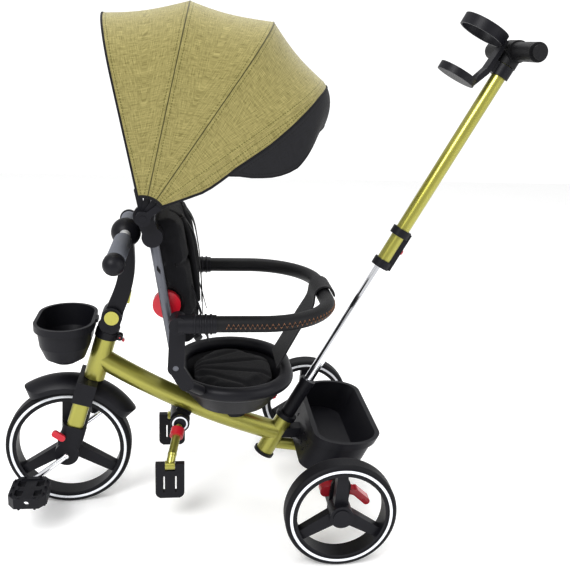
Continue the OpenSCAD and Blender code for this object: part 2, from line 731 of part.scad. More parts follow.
module foot_plate_left() color([0.1, 0.1, 0.11]) place() mirror([0, 1, 0]) foot_plate();

// ---- seat ----
wall_z = rim_z - 8;
module seat_tub() color([0.12, 0.12, 0.14]) place() {
  difference() {
    union() {
      translate([tub_x, 0, rim_z]) rounded_ring(rim_r, rim_half, rim_d);
      difference() {
        translate([tub_x, 0, 0]) rounded_cone(70, rim_r + 6, tub_z, wall_z, rim_half);
        translate([tub_x, 0, 0]) rounded_cone(66, rim_r + 2, tub_z + 4, wall_z + 4, rim_half);
      }
      translate([seat_x, 0, tub_z - 14 + air]) cylinder(h = 20, r = 34);
    }
    translate([seat_x, 0, tub_z - 20]) cylinder(h = 20 + 1.6, r = spindle_d / 2 + run);
    translate([seat_x + 50, 0, tub_z - 20]) cylinder(h = 22, r = 3 + run);
  }
}
module seat_pad() color([0.13, 0.13, 0.15]) place()
  translate([tub_x, 0, 0]) rounded_cone(58, rim_r - rim_d / 2 - 2.5, tub_z + 7, seat_top - 13, rim_half);
module seat_arms() color([0.12, 0.12, 0.14]) place() both() {
  u = [guard_x + 22 - tub_x, arm_y - rim_half];
  foot = rim_r + rim_d / 2 + 4;
  e = u / norm(u);
  difference() {
    union() {
      slab(arm_y, arm_y + arm_t) {
        link([guard_x + 14, rim_z + 40], [back_x, back_z], 26);
        link([back_x, back_z], [guard_x, guard_z], 28);
      }
      rod([guard_x + 14, arm_y + 6, rim_z + 38], [tub_x + e.x * foot, rim_half + e.y * foot, rim_z + 10], 9);
    }
    cross(guard_x, guard_z, 6 + run, 0, 300);
    cross(back_x, back_z, 5 + run, 0, 300);
  }
}
module swivel_lever() color([0.8, 0.1, 0.15]) place() {
  translate([0, 0, tub_z - 8]) linear_extrude(6) {
    link([seat_x + 50, 0], [-100, 0], 16);
    link([-104, -8], [-104, 8], 18);
  }
  translate([seat_x + 50, 0, tub_z - 4]) cylinder(h = 5.5, r = 3);
}
module guard_hubs() color([0.11, 0.11, 0.12]) place() both() {
  cross(guard_x, guard_z, 15, arm_y + arm_t + air, guard_half + 12);
  cross(guard_x, guard_z, 6, arm_y + 1, arm_y + arm_t + air + 1);
  rod([guard_x, guard_half, guard_z], [guard_x + 64, guard_half, guard_z], guard_d / 2 + 2);
}
module guard_path(r) {
  nose = guard_x + guard_nose;
  both() {
    rod([guard_x + 64 + snug, guard_half, guard_z], [nose - guard_corner, guard_half, guard_z], r);
    translate([nose - guard_corner, guard_half - guard_corner, guard_z])
      rotate_extrude(angle = 90) translate([guard_corner, 0]) circle(r = r);
  }
  cross(nose, guard_z, r, -guard_half + guard_corner, guard_half - guard_corner);
}
module guard_ring() color([0.1, 0.1, 0.11]) place() guard_path(guard_d / 2);
module crotch_strap() color([0.12, 0.12, 0.13]) place() {
  nose = guard_x + guard_nose;
  difference() {
    union() {
      cross(nose, guard_z, guard_d / 2 + 4, -strap_half, strap_half);
      slab(-strap_half + 2, strap_half - 2) link([nose - 8, guard_z - 14], [nose - 88, seat_top - 2], 6);
    }
    guard_path(guard_d / 2 + 0.4);
  }
}

// ---- backrest ----
module backrest_frame() color([0.42, 0.44, 0.48]) place() recline() {
  both() {
    rod([0, back_half, 0], [0, back_half, back_h], back_d / 2);
    translate([0, back_half, back_h]) sphere(d = back_d + 0.6);
    cross(0, 0, 12, back_half - 9.5, back_half + 9.5);
    cross(0, 0, 5, back_half + 9, arm_y + arm_t - 1);
  }
  cross(0, back_h, back_d / 2 - 0.6, -back_half, back_half);
}
dial_y = back_half - back_d / 2 - 20;
module backrest_cushion() color([0.12, 0.12, 0.14]) place() recline() {
  half = back_half - back_d / 2 - 2;
  difference() {
    union() {
      slab(-half, half) {
        link([15, 40], [15, back_h - 12], 40);
        link([26, 40], [26, back_h - 12], 40);
      }
      both() rod([0, back_half, 133], [0, back_half, clamp_s - 24], back_d / 2 + 5);
    }
    cross(0, back_h, back_d / 2 + 0.5, -200, 200);
    both() rod([0, back_half, 100], [0, back_half, back_h], back_d / 2 + 0.4);
    cross(1, 104, 25.5, -back_half, -dial_y + 1);
  }
}
module recline_dial() color([0.75, 0.08, 0.15]) place() recline()
  cross(1, 104, 24, -dial_y - 15, -dial_y);
// drawcord loop on the front of the backrest, near its left edge
cord_r = 1.4;
cord_pts = [
  [47.6, -110, 128], [49.5, -110.5, 120], [51, -111.5, 108], [52.5, -113, 95], [54, -115, 84],
  [55.5, -118, 77], [57, -122, 76], [57, -126, 82], [55.5, -128.5, 93], [53, -129.5, 106],
  [50.5, -129.5, 118], [48, -129.5, 127],
];
function unit(v) = v / norm(v);
function cord_dir(i) = unit(cord_pts[min(i + 1, len(cord_pts) - 1)] - cord_pts[max(i - 1, 0)]);
module pull_cord() color([0.05, 0.05, 0.05]) place() recline() {
  n = len(cord_pts);
  ring = [
    for (i = [0:n - 1]) let (d = cord_dir(i), u = unit(cross_of([1, 0.2, 0], d)), v = cross_of(d, u))
      for (k = [0:7]) cord_pts[i] + cord_r * (cos(45 * k) * u + sin(45 * k) * v)
  ];
  sides = [
    for (i = [0:n - 2], k = [0:7])
      [i * 8 + k, (i + 1) * 8 + k, (i + 1) * 8 + (k + 1) % 8, i * 8 + (k + 1) % 8]
  ];
  polyhedron(ring, concat(sides, [[for (k = [0:7]) k]], [[for (k = [7:-1:0]) (n - 1) * 8 + k]]));
}
function cross_of(a, b) =
  [a.y * b.z - a.z * b.y, a.z * b.x - a.x * b.z, a.x * b.y - a.y * b.x];

// ---- canopy ----
module canopy_clamps() color([0.11, 0.11, 0.12]) place() both() {
  c = back_pt(0, clamp_s);
  difference() {
    union() {
      cross(c.x, c.y, 17, back_half - 8, arm_y + arm_t);
      slab(arm_y + 1, arm_y + arm_t) link(c, [canopy_x, canopy_z], 26);
      cross(canopy_x, canopy_z, 17, arm_y + 1, arm_y + arm_t + 1);
      cross(canopy_x, canopy_z, 5, arm_y, eye_y + 4 * bow_gap);
    }
    recline() rod([0, back_half, 0], [0, back_half, back_h + 20], back_d / 2 + 1.2);
  }
}
module bow(i) {
  y = eye_y + bow_gap * i;
  reach = lookup(bow_angles[i], reach_at);
  leg_y0 = y + 1.5;
  translate([canopy_x, 0, canopy_z]) rotate([0, 90 - bow_angles[i], 0]) {
    both() {
      difference() {
        slab(y, y + 3) link([0, 0], [0, 44], 11);
        cross(0, 0, 5 + run, 0, 300);
      }
      slab(y, y + 3) difference() {
        circle(r = 12);
        circle(r = 5 + run);
      }
      rod([0, leg_y0, 42], [0, leg_y0, reach - bow_corner], bow_d / 2);
      translate([0, leg_y0 - bow_corner, reach - bow_corner])
        rotate([90, 0, 90]) rotate_extrude(angle = 90) translate([bow_corner, 0]) circle(d = bow_d);
    }
    cross(0, reach, bow_d / 2, -leg_y0 + bow_corner, leg_y0 - bow_corner);
  }
}
module canopy_bow_back() color([0.1, 0.1, 0.11]) place() bow(0);
module canopy_bow_rear() color([0.1, 0.1, 0.11]) place() bow(1);
module canopy_bow_mid() color([0.1, 0.1, 0.11]) place() bow(2);
module canopy_bow_front() color([0.1, 0.1, 0.11]) place() bow(3);
// one station of the cloth: half profile from the side hem to the crown, then mirrored
cloth_n = 9;
function cloth_half_path(reach, w, c, r0) = concat(
  [for (i = [0:3]) [w, r0 + (reach - c - r0) * i / 4]],
  [for (i = [0:6]) [w - c + c * cos(15 * i), reach - c + c * sin(15 * i)]],
  [[(w - c) * 0.5, reach]]
);
function cloth_path(reach, w, c, r0) = let (h = cloth_half_path(reach, w, c, r0), n = len(h))
  concat(h, [[0, reach]], [for (i = [n - 1:-1:0]) [-h[i].x, h[i].y]]);
function hem_at(a) = a > 36.6 ? 46 : 46 + (36.6 - a) / (36.6 - visor_end) * 150;
module canopy_cover() color([0.6, 0.6, 0.36]) place() translate([canopy_x, 0, canopy_z]) {
  edges = concat(bow_angles, [visor_end]);
  stations = [for (k = [0:24]) let (i = min(floor(k / 6), 3))
    edges[i] + (edges[i + 1] - edges[i]) * (k - 6 * i) / 6];
  outer = [for (a = stations) cloth_path(lookup(a, reach_at) + bow_d / 2 + 1 + cloth_t,
    cloth_half, bow_corner + 1 + cloth_t, hem_at(a))];
  inner = [for (a = stations) cloth_path(lookup(a, reach_at) + bow_d / 2 + 1,
    cloth_half - cloth_t, bow_corner + 1, hem_at(a))];
  m = len(outer[0]);
  n = len(stations);
  pts = concat(
    [for (k = [0:n - 1], p = outer[k]) [p.y * cos(stations[k]), p.x, p.y * sin(stations[k])]],
    [for (k = [0:n - 1], p = inner[k]) [p.y * cos(stations[k]), p.x, p.y * sin(stations[k])]]
  );
  o = n * m;
  faces = concat(
    [for (k = [0:n - 2], j = [0:m - 2]) each [
      [k * m + j, k * m + j + 1, (k + 1) * m + j + 1],
      [k * m + j, (k + 1) * m + j + 1, (k + 1) * m + j],
      [o + k * m + j, o + (k + 1) * m + j + 1, o + k * m + j + 1],
      [o + k * m + j, o + (k + 1) * m + j, o + (k + 1) * m + j + 1],
    ]],
    [for (k = [0:n - 2], e = [0, 1]) let (j = e * (m - 1), a = k * m + j, b = (k + 1) * m + j)
      each e == 0 ? [[a, b, o + b], [a, o + b, o + a]] : [[a, o + b, b], [a, o + a, o + b]]],
    [for (j = [0:m - 2], e = [0, 1]) let (k = e * (n - 1), a = k * m + j, b = a + 1)
      each e == 0 ? [[a, o + b, b], [a, o + a, o + b]] : [[a, b, o + b], [a, o + b, o + a]]]
  );
  polyhedron(pts, faces);
}

main_frame();
frame_end_cap();
rear_axle();
brake_housings();
rear_basket();
push_sleeve();
push_tube_lower();
steering_collar();
footrest_bracket();
seat_saddle();
rear_tyre_left();
rear_tyre_right();
rear_rim_left();
rear_rim_right();
brake_lever_left();
brake_lever_right();
slider_collar();
push_tube_upper();
push_handle();
cup_holder();
slider_button();
lock_clip();
fork_legs();
mudguard();
fork_dropouts();
stem_knuckle();
stem_pivot_bolt();
front_basket();
front_tyre();
front_rim();
crank();
pedal_left();
pedal_right();
clutch_lever();
stem();
handlebar();
handlebar_grips();
handlebar_ends();
stem_button();
footrest_struts();
footrest_collars();
foot_plate_left();
foot_plate_right();
seat_tub();
seat_pad();
seat_arms();
swivel_lever();
guard_hubs();
guard_ring();
crotch_strap();
backrest_frame();
backrest_cushion();
recline_dial();
pull_cord();
canopy_clamps();
canopy_bow_back();
canopy_bow_rear();
canopy_bow_mid();
canopy_bow_front();
canopy_cover();
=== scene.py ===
# %% [markdown]
# # A child's push tricycle, dressed over its working frame
#
# The hard parts of this tricycle arrive ready made: tubes, wheels, hinges and
# baskets, each already in its place. This lesson gives them their finishes and
# then sews what a maker would sew: the folding hood, the seat cushion, the
# backrest, the straps and the small trim. We never move a part that came with
# the frame, because the hinges depend on where each one stands.

# %% Load the frame
import bpy
import json
import math
from mathutils import Matrix, Vector


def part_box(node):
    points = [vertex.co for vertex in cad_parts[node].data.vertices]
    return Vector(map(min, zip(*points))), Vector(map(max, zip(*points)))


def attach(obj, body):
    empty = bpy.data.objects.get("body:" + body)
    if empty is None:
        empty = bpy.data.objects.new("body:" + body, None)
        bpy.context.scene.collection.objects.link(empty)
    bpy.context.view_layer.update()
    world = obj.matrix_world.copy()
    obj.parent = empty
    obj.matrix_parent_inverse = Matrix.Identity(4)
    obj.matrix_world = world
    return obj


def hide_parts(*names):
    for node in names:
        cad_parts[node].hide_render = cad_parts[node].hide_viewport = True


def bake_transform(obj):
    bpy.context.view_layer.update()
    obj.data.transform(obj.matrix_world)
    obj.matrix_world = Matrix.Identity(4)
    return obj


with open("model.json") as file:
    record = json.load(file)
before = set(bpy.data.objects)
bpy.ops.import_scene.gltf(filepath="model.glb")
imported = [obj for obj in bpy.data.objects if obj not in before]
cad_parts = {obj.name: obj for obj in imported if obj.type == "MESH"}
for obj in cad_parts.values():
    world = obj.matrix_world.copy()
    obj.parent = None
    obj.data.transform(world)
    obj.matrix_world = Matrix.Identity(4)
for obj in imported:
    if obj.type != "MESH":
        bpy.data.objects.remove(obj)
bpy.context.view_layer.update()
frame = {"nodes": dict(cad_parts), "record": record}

# %% [markdown]
# ## Finding places on the tricycle
#
# The drawing measures from the ground under the rear axle, in millimetres, but
# Blender works in metres about the middle of the whole tricycle. One function
# turns a drawing point into a Blender point. The backrest and the hood lean,
# so each gets a helper that speaks in its own directions.

# %% Place helpers
front_low, front_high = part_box("front_tyre")
shift = (front_low[0] + front_high[0]) / 2 + 0.5


def at(x, y, z):
    return Vector((x / 1000 + shift, y / 1000, z / 1000))


BACK_LEAN = math.radians(9.3)
BACK_FOOT_X, BACK_FOOT_Z = -290, 350
HOOD_HINGE_X, HOOD_HINGE_Z = -341, 616
GUARD_Z = 437


def on_back(b, y, s):
    # b is out of the backrest's face and s is up along it, from its foot
    return at(BACK_FOOT_X - s * math.sin(BACK_LEAN) + b * math.cos(BACK_LEAN), y,
              BACK_FOOT_Z + s * math.cos(BACK_LEAN) + b * math.sin(BACK_LEAN))


def on_hood(angle, y, reach):
    # a point at this reach from the hoops' hinge, on a hoop at this angle
    turn = math.radians(angle)
    return at(HOOD_HINGE_X + reach * math.cos(turn), y, HOOD_HINGE_Z + reach * math.sin(turn))


print("the front hub stands at", [round(v, 3) for v in at(-500, 0, 120)])

# %% [markdown]
# ## The camera
#
# A picture of a product is usually taken from a little above, with a long
# enough lens that the wheels stay round. We build the camera's three axes from
# its heading, its dip and a slight roll, and hand them over as one matrix.

# %% Camera
def camera_matrix(place, heading, dip, roll):
    side = Vector((math.cos(heading), math.sin(heading), 0))
    back = Vector((math.sin(heading) * math.cos(dip), -math.cos(heading) * math.cos(dip), math.sin(dip)))
    up = back.cross(side)
    right = side * math.cos(roll) + up * math.sin(roll)
    top = back.cross(right)
    matrix = right.to_4d(), top.to_4d(), back.to_4d(), place.to_4d()
    return Matrix([[column[row] for column in matrix] for row in range(3)] + [[0, 0, 0, 1]])


lens = bpy.data.cameras.new("studio_camera")
lens.sensor_width = 36
lens.lens = 49.64
studio_camera = bpy.data.objects.new("studio_camera", lens)
bpy.context.scene.collection.objects.link(studio_camera)
studio_camera.matrix_world = camera_matrix(
    at(-270, -1430, 889), math.radians(-7.38), math.radians(16.97), math.radians(2.34))
bpy.context.scene.camera = studio_camera
print("camera looks along", [round(v, 3) for v in -studio_camera.matrix_world.col[2].to_3d()])

# %% [markdown]
# ## Light and floor
#
# Soft goods read best under one large soft light from above and to the side,
# with a weaker one to open the shadows. The floor is a plain pale sheet, which
# is not part of the tricycle.

# %% Stage
def soft_light(name, place, target, size, power):
    lamp = bpy.data.lights.new(name, "AREA")
    lamp.shape = "DISK"
    lamp.size = size
    lamp.energy = power
    holder = bpy.data.objects.new(name, lamp)
    bpy.context.scene.collection.objects.link(holder)
    holder.location = place
    holder.rotation_euler = (Vector(target) - Vector(place)).to_track_quat("-Z", "Y").to_euler()
    return holder


soft_light("key_light", (-1.3, -1.8, 2.3), (0, 0, 0.4), 1.4, 46)
soft_light("fill_light", (1.9, -1.3, 1.3), (0, 0, 0.4), 1.8, 15)
soft_light("top_light", (0.1, 0.6, 2.4), (0, 0, 0.4), 1.5, 22)

sky = bpy.data.worlds.new("studio_sky")
sky.use_nodes = True
sky.node_tree.nodes["Background"].inputs["Color"].default_value = (1, 1, 1, 1)
# the backdrop is shown a little brighter than the light it gives
seen = sky.node_tree.nodes.new("ShaderNodeLightPath")
level = sky.node_tree.nodes.new("ShaderNodeMapRange")
level.inputs["To Min"].default_value = 0.7
level.inputs["To Max"].default_value = 1.0
sky.node_tree.links.new(seen.outputs["Is Camera Ray"], level.inputs["Value"])
sky.node_tree.links.new(level.outputs["Result"], sky.node_tree.nodes["Background"].inputs["Strength"])
bpy.context.scene.world = sky
bpy.context.scene.view_settings.view_transform = "Standard"
bpy.context.scene.view_settings.gamma = 0.84
bpy.context.scene.view_settings.exposure = 0.22

# %% [markdown]
# ## Building node graphs by hand
#
# A material is a small graph. Two helpers keep the graphs short to read: one
# adds a node and fills or links its inputs, the other starts a node group with
# named inputs and outputs, as a pattern used by many finishes should be.

# %% Graph helpers
def put(tree, kind, settings=None, inputs=None):
    made = tree.nodes.new(kind)
    for name, value in (settings or {}).items():
        setattr(made, name, value)
    for key, value in (inputs or {}).items():
        socket = made.inputs[key]
        if isinstance(value, bpy.types.NodeSocket):
            tree.links.new(value, socket)
        else:
            socket.default_value = value
    return made


def blend_colour(tree, mask, first, second):
    mixer = put(tree, "ShaderNodeMix", {"data_type": "RGBA", "blend_type": "MIX"},
                {0: mask, 6: first, 7: second})
    return mixer.outputs[2]


def math_node(tree, operation, a, b=0.5, c=None):
    inputs = {0: a, 1: b}
    if c is not None:
        inputs[2] = c
    return put(tree, "ShaderNodeMath", {"operation": operation}, inputs).outputs[0]


def new_group(name, inputs, outputs):
    tree = bpy.data.node_groups.new(name, "ShaderNodeTree")
    for label, kind, value in inputs:
        socket = tree.interface.new_socket(label, in_out="INPUT", socket_type=kind)
        if value is not None:
            socket.default_value = value
    for label, kind in outputs:
        tree.interface.new_socket(label, in_out="OUTPUT", socket_type=kind)
    return tree, tree.nodes.new("NodeGroupInput"), tree.nodes.new("NodeGroupOutput")


FLOAT, VECTOR = "NodeSocketFloat", "NodeSocketVector"
print("graph helpers ready")

# %% [markdown]
# ## Effects that many finishes share
#
# Moulded plastic, paint and foam all have a fine grain, edges that catch the
# light where hands and shoes rub them, and dust that settles on upward faces.
# Each effect is a group that gives out a mask or a height, and each material
# uses it with its own values.

# %% Grain group
def make_grain_group():
    tree, source, sink = new_group(
        "fine_grain", [("Vector", VECTOR, None), ("Scale", FLOAT, 900.0), ("Blotch", FLOAT, 18.0)],
        [("Height", FLOAT), ("Shade", FLOAT)])
    fine = put(tree, "ShaderNodeTexNoise", None, {
        "Vector": source.outputs["Vector"], "Scale": source.outputs["Scale"], "Detail": 3.0})
    broad = put(tree, "ShaderNodeTexNoise", None, {
        "Vector": source.outputs["Vector"], "Scale": source.outputs["Blotch"], "Detail": 4.0})
    tree.links.new(fine.outputs["Fac"], sink.inputs["Height"])
    tree.links.new(broad.outputs["Fac"], sink.inputs["Shade"])
    return tree


grain_group = make_grain_group()
print("group:", grain_group.name)


# %% Rubbed edge group
def make_edge_group():
    tree, source, sink = new_group(
        "rubbed_edges", [("Vector", VECTOR, None), ("Amount", FLOAT, 1.0)], [("Mask", FLOAT)])
    soft = put(tree, "ShaderNodeBevel", {"samples": 4}, {"Radius": 0.0016})
    plain = put(tree, "ShaderNodeNewGeometry")
    dot = put(tree, "ShaderNodeVectorMath", {"operation": "DOT_PRODUCT"},
              {0: soft.outputs["Normal"], 1: plain.outputs["Normal"]})
    edge = math_node(tree, "SUBTRACT", 1.0, dot.outputs["Value"])
    chips = put(tree, "ShaderNodeTexNoise", None, {
        "Vector": source.outputs["Vector"], "Scale": 130.0, "Detail": 5.0})
    broken = math_node(tree, "MULTIPLY", edge, chips.outputs["Fac"])
    strong = math_node(tree, "MULTIPLY", broken, source.outputs["Amount"])
    mask = put(tree, "ShaderNodeClamp", None, {"Value": strong, "Min": 0.0, "Max": 1.0})
    tree.links.new(mask.outputs[0], sink.inputs["Mask"])
    return tree


edge_group = make_edge_group()
print("group:", edge_group.name)


# %% Settled dust group
def make_dust_group():
    tree, source, sink = new_group(
        "settled_dust", [("Vector", VECTOR, None), ("Amount", FLOAT, 0.2)], [("Mask", FLOAT)])
    plain = put(tree, "ShaderNodeNewGeometry")
    up = put(tree, "ShaderNodeSeparateXYZ", None, {0: plain.outputs["Normal"]})
    facing = put(tree, "ShaderNodeClamp", None, {"Value": up.outputs["Z"], "Min": 0.0, "Max": 1.0})
    cloud = put(tree, "ShaderNodeTexNoise", None, {
        "Vector": source.outputs["Vector"], "Scale": 34.0, "Detail": 6.0})
    patch = math_node(tree, "MULTIPLY", facing.outputs[0], cloud.outputs["Fac"])
    mask = math_node(tree, "MULTIPLY", patch, source.outputs["Amount"])
    tree.links.new(mask, sink.inputs["Mask"])
    return tree


dust_group = make_dust_group()
print("group:", dust_group.name)


# %% Weave group
def make_weave_group():
    tree, source, sink = new_group(
        "plain_weave", [("Vector", VECTOR, None), ("Threads", FLOAT, 700.0), ("Slub", FLOAT, 0.5)],
        [("Height", FLOAT), ("Shade", FLOAT), ("Melange", FLOAT)])
    parts = put(tree, "ShaderNodeSeparateXYZ", None, {0: source.outputs["Vector"]})
    waves = []
    for axis in ("X", "Y", "Z"):
        run = math_node(tree, "MULTIPLY", parts.outputs[axis], source.outputs["Threads"])
        waves.append(math_node(tree, "SINE", math_node(tree, "MULTIPLY", run, 6.2832), 0.0))
    cross = math_node(tree, "MULTIPLY", waves[0], waves[1])
    height = math_node(tree, "ADD", cross, math_node(tree, "MULTIPLY", waves[2], waves[0]))
    streak = []
    for stretch in ((900.0, 60.0, 60.0), (60.0, 900.0, 60.0)):
        scaled = put(tree, "ShaderNodeVectorMath", {"operation": "MULTIPLY"},
                     {0: source.outputs["Vector"], 1: stretch})
        cloud = put(tree, "ShaderNodeTexNoise", None, {
            "Vector": scaled.outputs[0], "Scale": 1.0, "Detail": 3.0, "Roughness": 0.6})
        streak.append(cloud.outputs["Fac"])
    melange = math_node(tree, "MULTIPLY_ADD", math_node(tree, "ADD", streak[0], streak[1]), 0.5, 0.0)
    shade = math_node(tree, "MULTIPLY_ADD", height, 0.12, 0.5)
    slub = math_node(tree, "MULTIPLY_ADD", melange, source.outputs["Slub"], height)
    tree.links.new(slub, sink.inputs["Height"])
    tree.links.new(shade, sink.inputs["Shade"])
    tree.links.new(melange, sink.inputs["Melange"])
    return tree


weave_group = make_weave_group()
print("group:", weave_group.name)

# %% [markdown]
# ## Hard finishes
#
# Painted tube, moulded plastic, foam and bright metal differ in colour, gloss
# and grain, but the recipe is the same: a base colour with faint blotches, a
# lighter rubbed edge, a little dust, and a bump from the grain.

# %% Hard finish recipe
def group_in(tree, group, inputs):
    made = tree.nodes.new("ShaderNodeGroup")
    made.node_tree = group
    for key, value in inputs.items():
        if isinstance(value, bpy.types.NodeSocket):
            tree.links.new(value, made.inputs[key])
        else:
            made.inputs[key].default_value = value
    return made


def rgba(colour, gain=1.0):
    return (colour[0] * gain, colour[1] * gain, colour[2] * gain, 1.0)


def hard_finish(name, colour, rough, metallic=0.0, coat=0.0, grain=900.0, depth=0.12,
                blotch=0.12, wear=1.2, worn=(0.5, 0.5, 0.5), dust=0.08, shine=0.5):
    made = bpy.data.materials.new(name)
    made.use_nodes = True
    tree = made.node_tree
    shader = tree.nodes["Principled BSDF"]
    here = tree.nodes.new("ShaderNodeTexCoord").outputs["Object"]
    fine = group_in(tree, grain_group, {"Vector": here, "Scale": grain})
    edge = group_in(tree, edge_group, {"Vector": here, "Amount": wear})
    settled = group_in(tree, dust_group, {"Vector": here, "Amount": dust})
    base = blend_colour(tree, fine.outputs["Shade"], rgba(colour, 1 - blotch), rgba(colour, 1 + blotch))
    rubbed = blend_colour(tree, edge.outputs["Mask"], base, rgba(worn))
    dusty = blend_colour(tree, settled.outputs["Mask"], rubbed, (0.62, 0.6, 0.57, 1))
    tree.links.new(dusty, shader.inputs["Base Color"])
    gloss = math_node(tree, "MULTIPLY_ADD", fine.outputs["Shade"], 0.12, rough - 0.05)
    gloss = math_node(tree, "ADD", gloss, math_node(tree, "MULTIPLY", settled.outputs["Mask"], 0.6))
    tree.links.new(gloss, shader.inputs["Roughness"])
    shader.inputs["Metallic"].default_value = metallic
    shader.inputs["Coat Weight"].default_value = coat
    shader.inputs["Coat Roughness"].default_value = 0.08
    shader.inputs["Specular IOR Level"].default_value = shine
    bump = put(tree, "ShaderNodeBump", None, {
        "Strength": depth, "Distance": 0.0004, "Height": fine.outputs["Height"]})
    tree.links.new(bump.outputs["Normal"], shader.inputs["Normal"])
    return made


print("hard finish recipe ready")

# %% Paints and metals
olive_paint = hard_finish("olive_gold_paint", (0.35, 0.335, 0.07), 0.3, metallic=0.75, coat=0.7,
                          grain=1500, depth=0.1, blotch=0.1, wear=0.5, worn=(0.75, 0.74, 0.5), dust=0.05)
white_paint = hard_finish("white_bar_paint", (0.82, 0.83, 0.85), 0.25, coat=0.6,
                          grain=600, depth=0.03, blotch=0.03, wear=0.4, worn=(0.6, 0.6, 0.6))
grey_paint = hard_finish("grey_tube_paint", (0.12, 0.125, 0.145), 0.35, metallic=0.5, coat=0.3,
                         grain=700, depth=0.05, blotch=0.08, wear=0.8)
bright_chrome = hard_finish("bright_chrome", (0.86, 0.87, 0.9), 0.09, metallic=1.0,
                            grain=400, depth=0.02, blotch=0.03, wear=0.2, dust=0.03)
turned_steel = hard_finish("turned_steel", (0.62, 0.63, 0.65), 0.3, metallic=1.0,
                           grain=1200, depth=0.12, blotch=0.08, wear=0.4)
gold_metal = hard_finish("gold_trim_metal", (0.42, 0.4, 0.1), 0.28, metallic=0.9, coat=0.4,
                         grain=800, depth=0.05, wear=0.5, worn=(0.8, 0.78, 0.6))
print("paints:", olive_paint.name, white_paint.name, grey_paint.name, bright_chrome.name)

# %% Plastics, foams and rubber
black_plastic = hard_finish("black_moulded_plastic", (0.009, 0.009, 0.0125), 0.4, grain=1400,
                            depth=0.3, blotch=0.18, wear=0.7, worn=(0.07, 0.07, 0.08),
                            dust=0.008, shine=0.26)
tyre_foam = hard_finish("tyre_foam", (0.007, 0.007, 0.0095), 0.5, grain=1000, depth=0.5,
                        blotch=0.2, wear=0.6, worn=(0.05, 0.05, 0.05), dust=0.012, shine=0.22)
red_plastic = hard_finish("red_lever_plastic", (0.5, 0.012, 0.03), 0.28, coat=0.3, grain=900,
                          depth=0.08, blotch=0.08, wear=0.7, worn=(0.75, 0.25, 0.25), dust=0.03)
grey_foam = hard_finish("grey_grip_foam", (0.155, 0.165, 0.195), 0.8, grain=1600, depth=0.7,
                        blotch=0.15, wear=0.5, worn=(0.3, 0.3, 0.32))
black_foam = hard_finish("black_grip_foam", (0.01, 0.01, 0.0115), 0.45, grain=1500, depth=0.6,
                         blotch=0.2, wear=0.5, worn=(0.05, 0.05, 0.05), dust=0.008, shine=0.25)
reflector_white = hard_finish("reflector_white", (0.78, 0.8, 0.84), 0.35, grain=1100, depth=0.15,
                              blotch=0.04, wear=0.3, worn=(0.55, 0.56, 0.6), dust=0.05)
print("plastics ready")

# %% Dress the hard parts
finish_of = {
    "frame_paint": olive_paint, "black_plastic": black_plastic, "tyre_foam": tyre_foam,
    "steel": turned_steel, "chrome": bright_chrome, "red_plastic": red_plastic,
    "gold_trim": gold_metal, "white_paint": white_paint, "grey_foam": grey_foam,
    "grey_paint": grey_paint, "black_foam": black_foam,
}
dressed = 0
for part in frame["record"]["subparts"]:
    shown = frame["nodes"][part["node"]]
    if part["material_slot"] in finish_of:
        for place in shown.material_slots:
            place.material = finish_of[part["material_slot"]]
        dressed += 1
print("dressed", dressed, "hard parts")

# %% [markdown]
# ## Cloth finishes
#
# The hood is a speckled cloth: olive warp threads crossed by paler ones, so
# no two stretches match. The seat and straps are plain black cloth. Both get
# their threads from the shared weave, and a sheen that lifts the grazing view.

# %% Cloth recipe
def cloth_finish(name, dark, light, threads, slub, rough=0.85, sheen=0.3, own_map=True,
                 stitch=None, depth=0.35, shine=0.3):
    made = bpy.data.materials.new(name)
    made.use_nodes = True
    tree = made.node_tree
    shader = tree.nodes["Principled BSDF"]
    if own_map:
        here = put(tree, "ShaderNodeUVMap", {"uv_map": "cloth"}).outputs["UV"]
    else:
        here = tree.nodes.new("ShaderNodeTexCoord").outputs["Object"]
    weave = group_in(tree, weave_group, {"Vector": here, "Threads": threads, "Slub": slub})
    edges = put(tree, "ShaderNodeMapRange", None, {
        "Value": weave.outputs["Melange"], "From Min": 0.36, "From Max": 0.64})
    base = blend_colour(tree, edges.outputs[0], rgba(dark), rgba(light))
    base = blend_colour(tree, weave.outputs["Shade"], rgba(dark, 0.8), base)
    height = weave.outputs["Height"]
    if stitch:
        parts = put(tree, "ShaderNodeSeparateXYZ", None, {0: here})
        near = math_node(tree, "COMPARE", math_node(tree, "ABSOLUTE", parts.outputs["Y"]), 0.006, 0.0007)
        dash = math_node(tree, "SINE", math_node(tree, "MULTIPLY", parts.outputs["X"], 1400.0))
        line = math_node(tree, "MULTIPLY", near, math_node(tree, "GREATER_THAN", dash, -0.4))
        base = blend_colour(tree, line, base, rgba(stitch))
    settled = group_in(tree, dust_group, {"Vector": here, "Amount": 0.015})
    base = blend_colour(tree, settled.outputs["Mask"], base, (0.6, 0.58, 0.55, 1))
    tree.links.new(base, shader.inputs["Base Color"])
    gloss = math_node(tree, "MULTIPLY_ADD", weave.outputs["Melange"], 0.1, rough - 0.05)
    tree.links.new(gloss, shader.inputs["Roughness"])
    shader.inputs["Sheen Weight"].default_value = sheen
    shader.inputs["Specular IOR Level"].default_value = shine
    shader.inputs["Sheen Roughness"].default_value = 0.5
    bump = put(tree, "ShaderNodeBump", None, {
        "Strength": depth, "Distance": 0.0003, "Height": height})
    tree.links.new(bump.outputs["Normal"], shader.inputs["Normal"])
    return made


